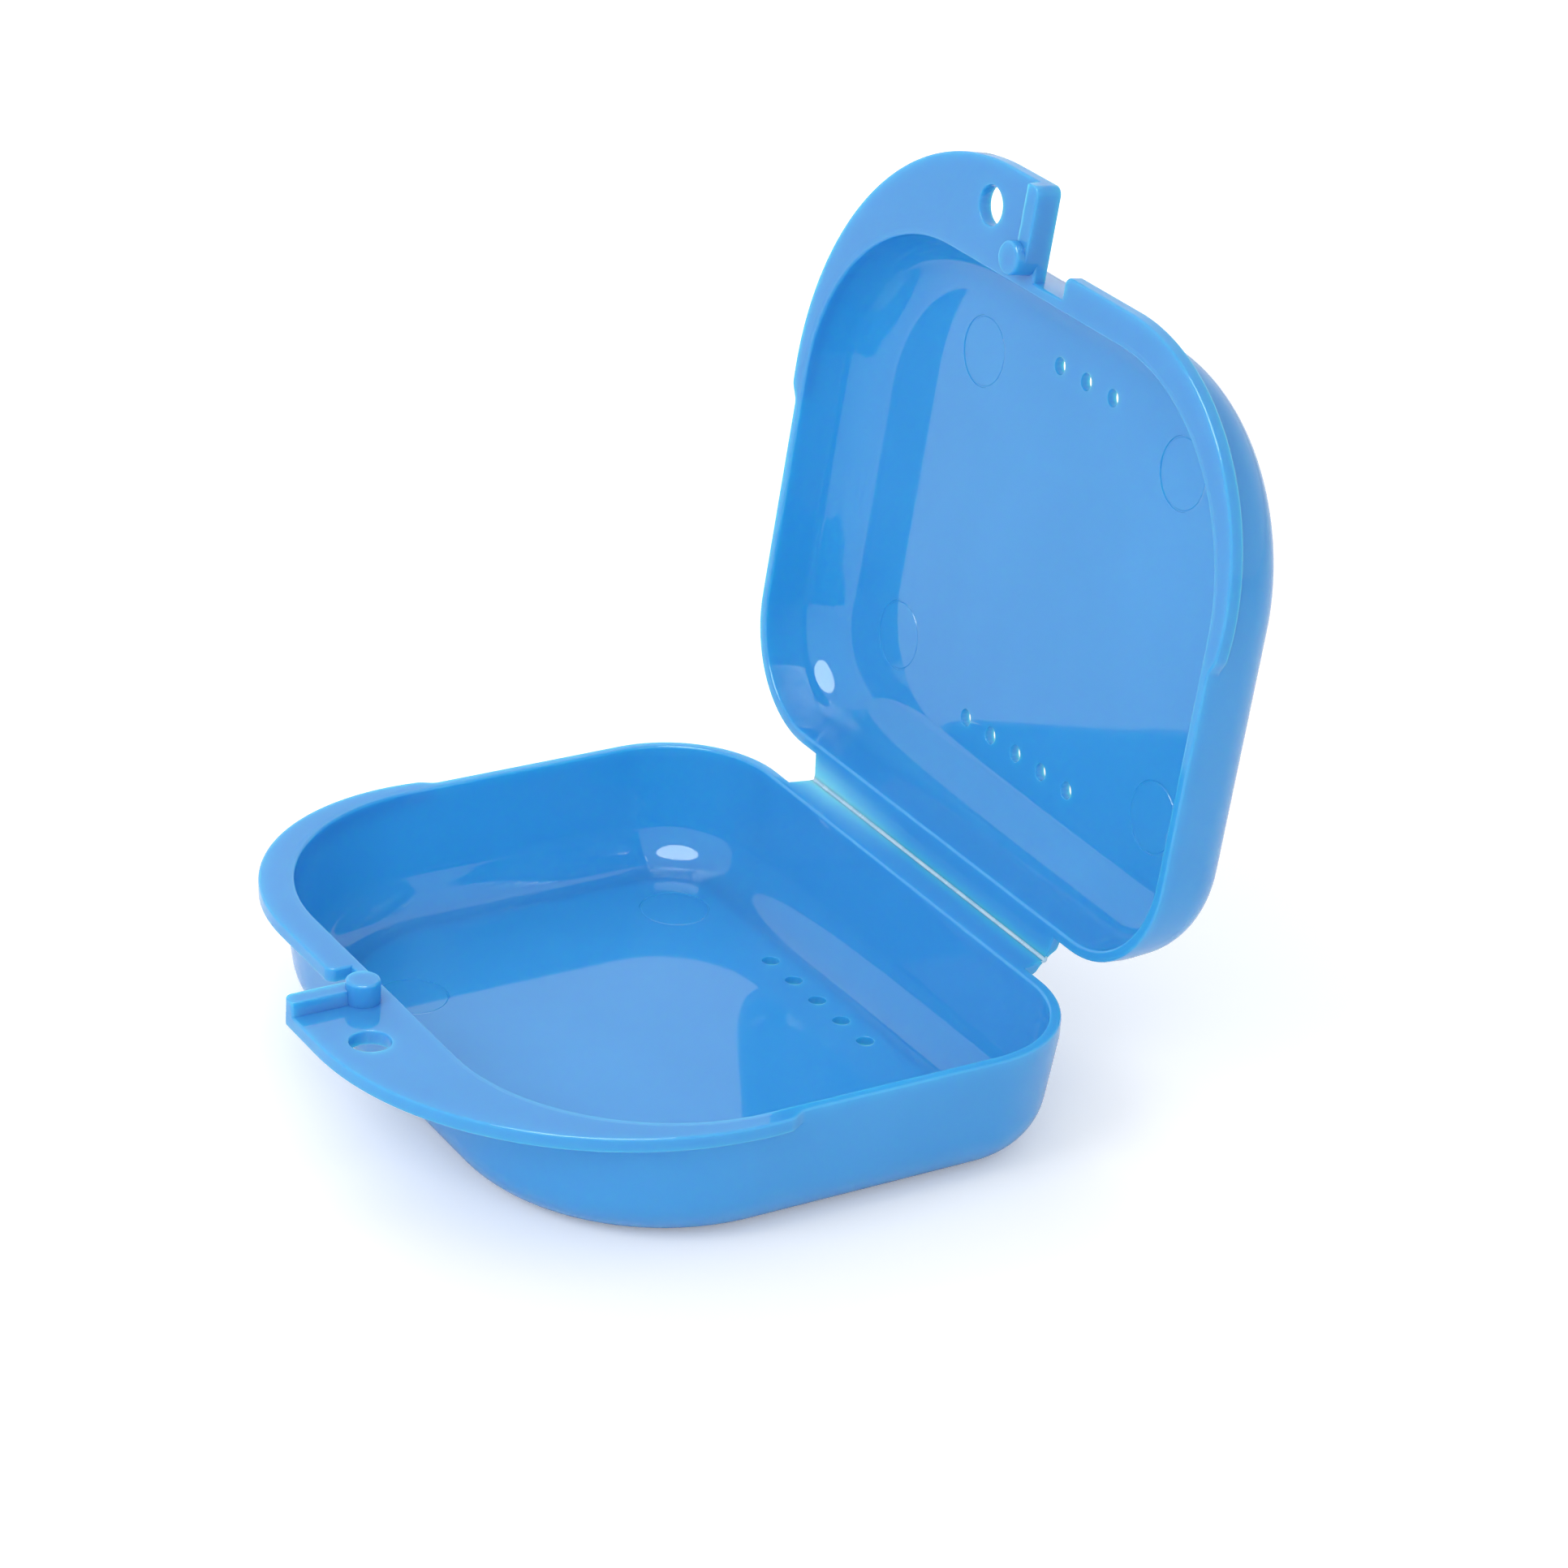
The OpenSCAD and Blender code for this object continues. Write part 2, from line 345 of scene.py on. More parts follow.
@dataclass
class ShaderBoard:
    """A material with short calls to add and join its nodes."""

    name: str
    material: bpy.types.Material = field(init=False)

    def __post_init__(self) -> None:
        """Starts the material with an empty node tree."""
        self.material = bpy.data.materials.new(self.name)
        self.material.use_nodes = True
        self.material.node_tree.nodes.clear()

    def add(self, kind: str, **settings: object) -> bpy.types.Node:
        """Adds a node.

        Args:
            kind: Blender's name for the kind of node.
            **settings: Properties of the node, by name.

        Returns:
            The new node.
        """
        node = self.material.node_tree.nodes.new(kind)
        for key, value in settings.items():
            setattr(node, key, value)
        return node

    def join(self, out: bpy.types.NodeSocket, into: bpy.types.NodeSocket) -> None:
        """Joins an output to an input."""
        self.material.node_tree.links.new(out, into)

    def coordinates(self) -> bpy.types.NodeSocket:
        """Gives the piece's own coordinates."""
        return self.add("ShaderNodeTexCoord").outputs["Object"]

    def stretched(self, where: bpy.types.NodeSocket, scale: Place,
                  turn: Place = (0.0, 0.0, 0.0)) -> bpy.types.NodeSocket:
        """Turns and stretches coordinates.

        Args:
            where: The coordinates.
            scale: Scale along each axis.
            turn: Turn about each axis, in radians.

        Returns:
            The new coordinates.
        """
        node = self.add("ShaderNodeMapping")
        node.inputs["Rotation"].default_value = turn
        node.inputs["Scale"].default_value = scale
        self.join(where, node.inputs["Vector"])
        return node.outputs["Vector"]

    def noise(self, where: bpy.types.NodeSocket, scale: float,
              detail: float) -> bpy.types.NodeSocket:
        """Adds plain noise.

        Args:
            where: Coordinates of the noise.
            scale: Patches in a metre.
            detail: Layers of finer noise.

        Returns:
            The noise's strength from 0 to 1.
        """
        node = self.add("ShaderNodeTexNoise")
        node.inputs["Scale"].default_value = scale
        node.inputs["Detail"].default_value = detail
        self.join(where, node.inputs["Vector"])
        return node.outputs["Fac"]

    def spread(self, value: bpy.types.NodeSocket, span: Point,
               result: Point) -> bpy.types.NodeSocket:
        """Maps a range of values onto another, with both ends held.

        Args:
            value: The value to map.
            span: Where the range starts and ends.
            result: Results at its start and its end.

        Returns:
            The mapped value.
        """
        node = self.add("ShaderNodeMapRange")
        for name, number in zip(("From Min", "From Max", "To Min", "To Max"), (*span, *result)):
            node.inputs[name].default_value = number
        self.join(value, node.inputs["Value"])
        return node.outputs["Result"]

    def pattern(self, where: bpy.types.NodeSocket, kind: Pattern) -> bpy.types.NodeSocket:
        """Adds a noise pattern, mapped onto its values."""
        return self.spread(self.noise(where, kind.scale, kind.detail), kind.span, kind.result)

    def calculate(self, operation: str, first: bpy.types.NodeSocket,
                  second: bpy.types.NodeSocket) -> bpy.types.NodeSocket:
        """Adds a math node of two values.

        Args:
            operation: Blender's name for the operation.
            first: The first value.
            second: The second value.

        Returns:
            The result.
        """
        node = self.add("ShaderNodeMath", operation=operation)
        self.join(first, node.inputs[0])
        self.join(second, node.inputs[1])
        return node.outputs[0]

    def measure(self, operation: str, first: bpy.types.NodeSocket,
                second: Place = (0.0, 0.0, 0.0)) -> bpy.types.Node:
        """Adds a vector math node of a vector and a constant.

        Args:
            operation: Blender's name for the operation.
            first: The vector.
            second: The constant, where the operation takes one.

        Returns:
            The node, whose outputs are Vector and Value.
        """
        node = self.add("ShaderNodeVectorMath", operation=operation)
        node.inputs[1].default_value = second
        self.join(first, node.inputs[0])
        return node

    def tint(self, share: bpy.types.NodeSocket, first: Tone, second: Tone) -> bpy.types.NodeSocket:
        """Mixes two colours, each given as numbers or as another node's output.

        Args:
            share: How much of the second colour shows.
            first: The colour at 0.
            second: The colour at 1.

        Returns:
            The mixed colour.
        """
        node = self.add("ShaderNodeMix", data_type="RGBA")
        self.join(share, node.inputs["Factor"])
        # A mix node has one pair of inputs per kind of data; 6 and 7 are its colours.
        for socket, colour in ((node.inputs[6], first), (node.inputs[7], second)):
            if isinstance(colour, bpy.types.NodeSocket):
                self.join(colour, socket)
            else:
                socket.default_value = (*colour, 1.0)
        return node.outputs[2]

    def plastic(self, colour: bpy.types.NodeSocket, roughness: bpy.types.NodeSocket,
                depth: Translucency) -> bpy.types.Node:
        """Adds the shader of a translucent plastic.

        Args:
            colour: Its colour.
            roughness: Its roughness.
            depth: How light spreads inside it.

        Returns:
            The shader's node.
        """
        node = self.add("ShaderNodeBsdfPrincipled")
        node.inputs["IOR"].default_value = PLASTIC_IOR
        node.inputs["Subsurface Weight"].default_value = depth.share
        node.inputs["Subsurface Radius"].default_value = depth.channels
        node.inputs["Subsurface Scale"].default_value = depth.reach
        self.join(colour, node.inputs["Base Color"])
        self.join(roughness, node.inputs["Roughness"])
        return node

    def finished(self, shader: bpy.types.Node) -> bpy.types.Material:
        """Joins a shader to the material's surface and gives the material."""
        self.join(shader.outputs[0], self.add("ShaderNodeOutputMaterial").inputs["Surface"])
        return self.material


@dataclass(frozen=True)
class BlueMoulding:
    """Glossy, slightly translucent blue polypropylene.

    The distances are in metres, as are the coordinates of the patterns.
    """

    deep: Colour = (0.052, 0.3, 0.66)
    light: Colour = (0.058, 0.318, 0.685)
    # Painted glow of light through the thin plastic at the fold, not the plastic's own colour.
    thin: Colour = (0.27, 0.65, 0.86)
    # Pale colour of worn edges, which also stands in for a painted edge highlight.
    wear_and_highlight_colour: Colour = (0.1, 0.4, 0.76)
    depth: Translucency = Translucency(1.0, 0.0025, (0.6, 1.55, 1.0))
    drift: Pattern = Pattern(55.0, 3.0, (0.3, 0.7), WHOLE)
    # Patches where the edges are paled by wear and a painted highlight.
    wear_and_highlight_patches: Pattern = Pattern(420.0, 4.0, (0.42, 0.72), (0.0, 0.16))
    gloss: Pattern = Pattern(130.0, 5.0, (0.35, 0.75), (0.025, 0.07))
    scratches: Pattern = Pattern(240.0, 2.0, (0.66, 0.74), WHOLE)
    scratch_turn: Place = (0.3, 0.2, 0.7)
    scratch_stretch: Place = (1.0, 14.0, 5.0)
    skin_scale: float = 900.0
    skin_detail: float = 2.0
    scuff_roughness: float = 0.2
    bump_strength: float = 0.025
    bump_height: float = 0.00004
    # Reach of the painted glow at the fold: across the leaf, and along the fold towards -X.
    pale_across: Point = (0.0002, 0.0036)
    pale_along: Point = (0.004, 0.0235)
    pale_share: Point = (0.02, 1.0)
    fold: Fold = field(default_factory=Fold)

    def material(self) -> bpy.types.Material:
        """Gives the material, made on the first call.

        Returns:
            The material that all the blue pieces share.
        """
        known = bpy.data.materials.get("blue_polypropylene")
        return known if known else self.make()

    def near_fold(self, board: ShaderBoard, where: bpy.types.NodeSocket) -> bpy.types.NodeSocket:
        """Gives the painted glow of light through the thin plastic at the fold, fading towards the
        walls.

        Args:
            board: The material's nodes.
            where: Coordinates on the piece.

        Returns:
            The fading value, higher towards the far end of the fold.
        """
        moved = board.measure("SUBTRACT", where, self.fold.point(0.0, 0.0)).outputs["Vector"]
        flat = board.measure("MULTIPLY", moved, (0.0, 1.0, 1.0)).outputs["Vector"]
        across = board.measure("LENGTH", flat).outputs["Value"]
        along = board.measure("DOT_PRODUCT", moved, (-1.0, 0.0, 0.0)).outputs["Value"]
        fading = board.spread(across, self.pale_across, (1.0, 0.0))
        ends = board.spread(along, self.pale_along, self.pale_share)
        return board.calculate("MULTIPLY", fading, ends)

    def make(self) -> bpy.types.Material:
        """Builds the nodes: drifting blue, a painted glow at the fold, edges paled by wear and a
        painted highlight, fine scratches.

        Returns:
            The new material.
        """
        board = ShaderBoard("blue_polypropylene")
        where = board.coordinates()
        blue = board.tint(board.pattern(where, self.drift), self.deep, self.light)
        # Painted glow of light through the thin plastic near the fold, strongest towards -X.
        blue = board.tint(self.near_fold(board, where), blue, self.thin)
        # Convex edges are paled in patches: partly wear, partly a painted highlight.
        edges = board.add("ShaderNodeAttribute", attribute_name="wear_and_highlight_edge").outputs["Fac"]
        wear_and_highlight = board.calculate("MULTIPLY", edges, board.pattern(where, self.wear_and_highlight_patches))
        colour = board.tint(wear_and_highlight, blue, self.wear_and_highlight_colour)

        dulled = board.spread(wear_and_highlight, WHOLE, (0.0, self.scuff_roughness))
        roughness = board.calculate("ADD", board.pattern(where, self.gloss), dulled)

        strokes = board.stretched(where, self.scratch_stretch, self.scratch_turn)
        skin = board.noise(where, self.skin_scale, self.skin_detail)
        height = board.calculate("ADD", skin, board.pattern(strokes, self.scratches))
        bump = board.add("ShaderNodeBump")
        bump.inputs["Strength"].default_value = self.bump_strength
        bump.inputs["Distance"].default_value = self.bump_height
        board.join(height, bump.inputs["Height"])

        plastic = board.plastic(colour, roughness, self.depth)
        board.join(bump.outputs["Normal"], plastic.inputs["Normal"])
        return board.finished(plastic)


@dataclass(frozen=True)
class ThinFold:
    """The same plastic where it is drawn thin and whitened by bending."""

    edge: Colour = (0.36, 0.6, 0.78)
    middle: Colour = (0.5, 0.68, 0.8)
    depth: Translucency = Translucency(0.2, 0.001, (0.8, 0.9, 1.0))
    streaks: Pattern = Pattern(500.0, 3.0, (0.3, 0.7), WHOLE)
    streak_stretch: Place = (1.0, 0.1, 0.1)
    roughness: Point = (0.2, 0.34)

    def material(self) -> bpy.types.Material:
        """Builds the nodes: streaks across the film, in colour and in gloss.

        Returns:
            The film's material.
        """
        board = ShaderBoard("thin_polypropylene")
        strokes = board.stretched(board.coordinates(), self.streak_stretch)
        streaks = board.pattern(strokes, self.streaks)
        colour = board.tint(streaks, self.edge, self.middle)
        roughness = board.spread(streaks, WHOLE, self.roughness)
        return board.finished(board.plastic(colour, roughness, self.depth))


@dataclass(frozen=True)
class RimPlan:
    """Plan of the rim, seen from above with the fold on the X axis."""

    half_width: float = 40.2
    back: float = -2.7
    front: float = -65.9
    rear_radius: float = 13.0
    front_radius: float = 23.8
    steps_per_radius: float = 1.5
    side_steps: int = 12

    def corners(self) -> list[tuple[Point, float, float]]:
        """Finds the four corners.

        Returns:
            Each corner's centre, radius and first angle, counter-clockwise.
        """
        rear_x, rear_y = self.half_width - self.rear_radius, self.back - self.rear_radius
        front_x, front_y = self.half_width - self.front_radius, self.front + self.front_radius
        return [
            ((rear_x, rear_y), self.rear_radius, 0.0),
            ((-rear_x, rear_y), self.rear_radius, 90.0),
            ((-front_x, front_y), self.front_radius, 180.0),
            ((front_x, front_y), self.front_radius, 270.0),
        ]

    def loop(self, inset: float) -> list[Point]:
        """Draws the rim in by a distance, always with the same number of points.

        Args:
            inset: Distance in from the rim's outside.

        Returns:
            A counter-clockwise loop.
        """
        bends = []
        for centre, radius, start in self.corners():
            steps = round(radius * self.steps_per_radius)
            bends.append(arc(centre, radius - inset, start, start + 90.0, steps))
        points = []
        for i, bend in enumerate(bends):
            points += bend
            end, begin = Vector(bend[-1]), Vector(bends[(i + 1) % len(bends)][0])
            for k in range(1, self.side_steps):
                points.append(tuple(end.lerp(begin, k / self.side_steps)))
        return points


@dataclass
class Latch:
    """The raised rail on a thumb tab's edge and the round post at its inner end."""

    top: float = -0.1
    rail_edge: float = 0.145
    rail_foot: float = 2.3
    rail_top: float = 2.0
    rail_height: float = 1.5
    rail_front: float = -76.08
    tip_round: float = 1.0
    least_tip: float = 0.25
    tip_steps: int = 10
    end_round: float = 0.3
    end_steps: int = 8
    outer_round: float = 0.2
    inner_round: float = 0.12
    inner_share: float = 0.5
    round_steps: int = 10
    post: Point = (2.0, -68.05)
    post_radius: float = 1.85
    post_height: float = 2.5
    post_draft: float = 0.05
    post_sides: int = 64
    crown: float = 0.3
    crown_steps: int = 6
    sunk: float = 1.2

    def rail_loop(self, height: float) -> list[Point]:
        """Draws the rail at one height above the tab.

        Args:
            height: The height.

        Returns:
            A counter-clockwise loop.
        """
        def round_over(radius: float) -> float:
            """Gives how far a rounded top edge is drawn in at this height."""
            above = max(0.0, height - self.rail_height + radius)
            return radius - math.sqrt(max(0.0, radius * radius - above * above))

        share = min(1.0, max(0.0, height / self.rail_height))
        left = self.rail_edge + round_over(self.outer_round)
        lean = self.rail_foot + (self.rail_top - self.rail_foot) * share
        right = self.rail_edge + lean - self.inner_share * round_over(self.inner_round)
        front = self.rail_front + round_over(self.inner_round)
        tip = max(self.least_tip, self.tip_round - round_over(self.outer_round))
        end = (right - self.end_round, front + self.end_round)
        points = arc((left + tip, front + tip), tip, 180.0, 270.0, self.tip_steps)
        points += arc(end, self.end_round, 270.0, 360.0, self.end_steps)
        return points + [(right, self.post[1]), (left, self.post[1])]

    def rail(self) -> bpy.types.Object:
        """Builds the rail, with a sloping inner side and rounded top edges.

        Returns:
            The rail in millimetres.
        """
        turns = quarter(self.round_steps)
        rounded = [self.rail_height - self.outer_round * (1 - math.sin(a)) for a in turns]
        heights = [-self.sunk, 0.0] + rounded
        return stacked("latch_rail", [at_height(self.rail_loop(h), self.top + h) for h in heights])

    def pin(self) -> bpy.types.Object:
        """Builds the post, a little narrower at its rounded top.

        Returns:
            The post in millimetres.
        """
        profile = [(self.post_radius, -self.sunk), (self.post_radius, 0.0)]
        for a in quarter(self.crown_steps):
            radius = self.post_radius - self.post_draft - self.crown * (1 - math.cos(a))
            profile.append((radius, self.post_height - self.crown * (1 - math.sin(a))))
        rows = [(radius, self.top + height) for radius, height in profile]
        return spun("latch_post", rows, self.post, self.post_sides)

    def build(self) -> list[bpy.types.Object]:
        """Builds the rail and the post in millimetres, ready to be moulded in."""
        return [self.rail(), self.pin()]


@dataclass
class MouldedHalf:
    """One half of the case: tray, tab, lip, latch and hinge leaf in one skin.

    Heights are measured from the fold, and the marks' and the leaf's profiles
    are given as distances in from their edge and down from their top.
    """

    half: Half
    depth: float
    plan: RimPlan = field(default_factory=RimPlan)
    latch: Latch = field(default_factory=Latch)
    fold: Fold = field(default_factory=Fold)
    top: float = -0.1
    wall: float = 1.2
    foot_radius: float = 5.5
    foot_steps: int = 14
    slope: float = 8.0
    band: float = 1.8
    flange: float = 1.6
    edge: float = 0.25
    inner_edge: float = 0.3
    inner_steps: int = 6
    hole_edge: float = 0.15
    vent_edge: float = 0.04
    sink: float = 0.7
    flush: float = 0.004
    leaf_half: float = 24.25
    leaf_taper: float = 0.227
    leaf_end: float = -0.13
    leaf_soft: float = 0.12
    leaf_nose: float = 0.05
    leaf_thick: float = 1.2
    leaf_profile: tuple[Point, ...] = ((1.2, 1.2), (0.9, 1.1), (0.25, 0.5), (0.0, 0.36))
    tab_edge: float = 0.15
    tab_front: float = -76.1
    tab_radius: float = 33.5
    tab_side: float = 41.3
    tab_steps: int = 64
    lip_start: float = -5.15
    lip_front: float = -68.5
    lip_radius: float = 24.5
    lip_steps: int = 56
    step_at: float = -40.9
    step_run: float = 2.4
    step_points: int = 10
    tip_radius: float = 1.0
    tip_steps: int = 10
    corner_steps: int = 40
    hole: Point = (10.0, -71.1)
    hole_radius: float = 2.15
    hole_sides: int = 40
    overrun: float = 0.4
    vent_radius: float = 0.95
    vent_pitch: float = 5.0
    rear_vents: int = 5
    rear_row: float = -12.6
    front_vents: int = 3
    front_row: float = -55.0
    mark_radius: float = 4.0
    mark_sides: int = 96
    mark_profile: tuple[Point, ...] = ((0.3, 0.04), (0.24, 0.12), (0.06, 0.12))
    marks: tuple[Point, ...] = ((25.2, -16.2), (-25.2, -16.2), (18.9, -51.8), (-18.9, -51.8))

    def wall_rows(self) -> list[Point]:
        """Draws the wall's section.

        Returns:
            Inset and height of each point, from the outer floor to the inner.
        """
        lean = math.radians(self.slope)
        rim_wall = self.wall / math.cos(lean)
        drop = self.depth - self.foot_radius + self.foot_radius * math.sin(lean)
        run = (drop - self.band) * math.tan(lean)
        floor_in = rim_wall + run + self.foot_radius * math.cos(lean)
        foot_z = self.top - self.depth + self.foot_radius
        steps = self.foot_steps
        falls = [math.radians(self.slope + (90.0 - self.slope) * i / steps)
                 for i in range(steps + 1)]

        def foot(radius: float, turns: list[float]) -> list[Point]:
            """Draws the rounded foot of one side of the wall."""
            return [(floor_in - radius * math.cos(a), foot_z - radius * math.sin(a)) for a in turns]

        rows = foot(self.foot_radius + self.wall, falls[::-1])
        rows.append((0.0, self.top - self.band))
        for a in quarter(EDGE_STEPS):
            rows.append((self.edge * (1 - math.cos(a)), self.top - self.edge * (1 - math.sin(a))))
        soft = self.inner_edge
        for a in reversed(quarter(self.inner_steps)):
            rows.append((rim_wall - soft * (1 - math.cos(a)), self.top - soft * (1 - math.sin(a))))
        rows.append((rim_wall, self.top - self.band))
        return rows + foot(self.foot_radius, falls)

    def tray(self) -> bpy.types.Object:
        """Lofts the walls and floor from the rim's plan and the wall's section."""
        loops = [at_height(self.plan.loop(inset), z) for inset, z in self.wall_rows()]
        return stacked(f"{self.half.value}_moulding", loops)

    def side_step(self, reach: float) -> list[Point]:
        """Draws the soft step where a flange runs out on the rim.

        Args:
            reach: How far the flange stands out at the start of the step.

        Returns:
            Reach and place along the side of each point.
        """
        ease = [i / self.step_points for i in range(1, self.step_points + 1)]
        return [(reach * (0.5 + 0.5 * math.cos(math.pi * t)), self.step_at + self.step_run * t)
                for t in ease]

    def tab_loop(self) -> list[Point]:
        """Draws the wide thumb tab in front of one side.

        Returns:
            A counter-clockwise loop.
        """
        centre = (self.tab_side - self.tab_radius, self.tab_front + self.tab_radius)
        tip = (self.tab_edge + self.tip_radius, self.tab_front + self.tip_radius)
        rise = math.degrees(math.asin((self.step_at - centre[1]) / self.tab_radius))
        points = arc(tip, self.tip_radius, 180.0, 270.0, self.tip_steps)
        points += arc(centre, self.tab_radius, -90.0, rise, self.tab_steps)
        reach = points[-1][0] - self.plan.half_width
        points += [(self.plan.half_width + out, y) for out, y in self.side_step(reach)]
        corner, radius, _ = self.plan.corners()[3]
        points.append((self.plan.half_width - self.sink, points[-1][1]))
        points += arc(corner, radius - self.sink, 0.0, -90.0, self.corner_steps)
        points.append((self.tab_edge, self.plan.front + self.sink))
        return points

    def lip_loop(self) -> list[Point]:
        """Draws the narrow lip in front of the other side.

        Returns:
            A counter-clockwise loop.
        """
        centre = (self.lip_radius - self.tab_side, self.lip_front + self.lip_radius)
        tip = (self.lip_start - self.tip_radius, self.lip_front + self.tip_radius)
        rise = math.degrees(math.asin((self.step_at - centre[1]) / self.lip_radius))
        bend = arc(centre, self.lip_radius, 180.0 - rise, 270.0, self.lip_steps)
        reach = -bend[0][0] - self.plan.half_width
        points = [(-self.plan.half_width - out, y) for out, y in reversed(self.side_step(reach))]
        points += bend + arc(tip, self.tip_radius, 270.0, 360.0, self.tip_steps)
        points.append((self.lip_start, self.plan.front + self.sink))
        corner, radius, _ = self.plan.corners()[2]
        points += arc(corner, radius - self.sink, 270.0, 180.0, self.corner_steps)
        points.append((self.sink - self.plan.half_width, self.step_at + self.step_run))
        return points

    def flanges(self) -> list[bpy.types.Object]:
        """Builds the thumb tab and the narrow lip as rounded plates.

        Returns:
            Both plates in millimetres.
        """
        low, high = self.top - self.flange, self.top + self.flush
        return [
            rounded_plate("thumb_tab", self.tab_loop(), low, high, self.edge),
            rounded_plate("narrow_lip", self.lip_loop(), low, high, self.edge),
        ]

    def leaf(self) -> bpy.types.Object:
        """Builds the hinge leaf, which thins towards the fold.

        Returns:
            The leaf in millimetres.
        """
        back, end, top = self.plan.back - self.sink, self.leaf_end, self.top + self.flush
        section = [(back, self.top - self.leaf_thick)]
        section += [(end - away, self.top - down) for away, down in self.leaf_profile]
        section += [(end, top - self.leaf_nose), (end - self.leaf_nose, top), (back, top)]
        soft = self.leaf_soft
        ends = ((-1, soft, 0.0), (-1, 0.0, soft), (1, 0.0, soft), (1, soft, 0.0))
        loops = []
        for side, inset, short in ends:
            loop = []
            for y, z in drawn_in(section, inset):
                half = self.leaf_half + self.leaf_taper * (self.plan.back - y) - short
                loop.append(Vector((side * half, y, z)))
            loops.append(loop)
        return stacked("hinge_leaf", loops)

    def spool(self, name: str, centre: Point, radius: float, span: Point,
              soft: float) -> bpy.types.Object:
        """Builds a cutter for a round hole with softened edges.

        Args:
            name: Name of the cutter.
            centre: Place of the hole.
            radius: Radius of the hole.
            span: Heights of the lower and the upper face that it breaks through.
            soft: Radius of the hole's edges.

        Returns:
            The cutter.
        """
        low, high = span
        profile = [(radius + soft, low - self.overrun)]
        for a in quarter(EDGE_STEPS):
            profile.append((radius + soft * (1 - math.sin(a)), low + soft * (1 - math.cos(a))))
        for a in quarter(EDGE_STEPS):
            profile.append((radius + soft * (1 - math.cos(a)), high - soft * (1 - math.sin(a))))
        profile.append((radius + soft, high + self.overrun))
        return spun(name, profile, centre, self.hole_sides)

    def vent_row(self, count: int, row: float) -> list[Point]:
        """Places a row of vents about the middle of the floor."""
        return [((i - (count - 1) / 2) * self.vent_pitch, row) for i in range(count)]

    def cutters(self) -> list[bpy.types.Object]:
        """Builds the cutters for the tag hole, the vents and the moulding marks.

        Returns:
            All the cutters in millimetres.
        """
        floor = self.top - self.depth
        span = (self.top - self.flange, self.top + self.flush)
        made = [self.spool("tag_hole", self.hole, self.hole_radius, span, self.hole_edge)]
        vents = self.vent_row(self.rear_vents, self.rear_row)
        vents += self.vent_row(self.front_vents, self.front_row)
        span = (floor - self.wall, floor)
        for i, vent in enumerate(vents):
            made.append(self.spool(f"vent_{i}", vent, self.vent_radius, span, self.vent_edge))
        rows = [(self.mark_radius - away, floor - down) for away, down in self.mark_profile]
        rows.append((self.mark_radius, floor + self.overrun))
        for i, mark in enumerate(self.marks):
            made.append(spun(f"mark_{i}", rows, mark, self.mark_sides))
        return made

    def build(self) -> bpy.types.Object:
        """Builds the whole moulding and sets it in the CAD frame.

        Returns:
            The moulding, riding on its body.
        """
        piece = self.tray()
        combine(piece, self.flanges() + [self.leaf()] + self.latch.build(), Joining.ADD)
        combine(piece, self.cutters(), Joining.CUT)
        finish_mesh(piece, self.fold.place(self.half))
        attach(piece, self.half.value)
        nodes = ("shell", "tab", "lip", "hinge_leaf", "latch_rail", "latch_post")
        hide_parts(*(f"{self.half.value}_{node}" for node in nodes))
        return piece

    def dress(self, piece: bpy.types.Object, finish: BlueMoulding) -> None:
        """Gives the moulding its finish.

        Args:
            piece: The moulding.
            finish: The finish that both halves share.
        """
        piece.data.materials.clear()
        piece.data.materials.append(finish.material())


@dataclass
class FoldFilm:
    """The thin film that bends between the two hinge leaves."""

    fold: Fold = field(default_factory=Fold)
    half_length: float = 23.7
    inner: float = 0.1
    outer: float = 0.4
    reach: float = 0.5
    sunk: float = 0.03
    end_scale: float = 0.8
    bend_steps: int = 14
    length_steps: int = 40
    crease: float = 60.0

    def section(self) -> list[Point]:
        """Draws the film's section about the fold line.

        Returns:
            A loop from the base to the lid and back.
        """
        swing = 180.0 - self.fold.open_angle
        along = (math.cos(math.radians(swing)), math.sin(math.radians(swing)))
        under = arc((0.0, 0.0), self.outer, -90.0, swing - 90.0, self.bend_steps)
        over = arc((0.0, 0.0), self.inner, swing - 90.0, -90.0, self.bend_steps)
        low, high = [(p[0] + along[0] * self.reach, p[1] + along[1] * self.reach)
                     for p in (under[-1], over[0])]
        loop = [(-self.reach, -self.outer + self.sunk)] + under
        loop += [(low[0] - self.sunk, low[1]), (high[0] + self.sunk, high[1])]
        return loop + over + [(-self.reach, -self.inner - self.sunk)]

    def build(self) -> bpy.types.Object:
        """Builds the film and bends it across the joint.

        Returns:
            The film, set at the fold in the CAD frame.
        """
        section = self.section()
        middle = sum((Vector(p) for p in section), Vector((0.0, 0.0))) / len(section)
        loops = []
        for i in range(self.length_steps + 1):
            x = self.half_length * (2 * i / self.length_steps - 1)
            keep = self.end_scale if i in (0, self.length_steps) else 1.0
            loops.append([Vector((x, middle.x + (y - middle.x) * keep,
                                  middle.y + (z - middle.y) * keep)) for y, z in section])
        piece = stacked("fold_film", loops)
        finish_mesh(piece, self.fold.place(Half.BASE), self.crease)
        mid = (self.inner + self.outer) / 2
        swing = math.radians(90.0 - self.fold.open_angle)
        self.fold.point(0.0, -mid)
        self.fold.point(mid * math.cos(swing), mid * math.sin(swing))
        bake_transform(piece)
        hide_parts("hinge_web")
        return piece

    def dress(self, piece: bpy.types.Object, finish: ThinFold) -> None:
        """Gives the film its paler finish."""
        piece.data.materials.append(finish.material())


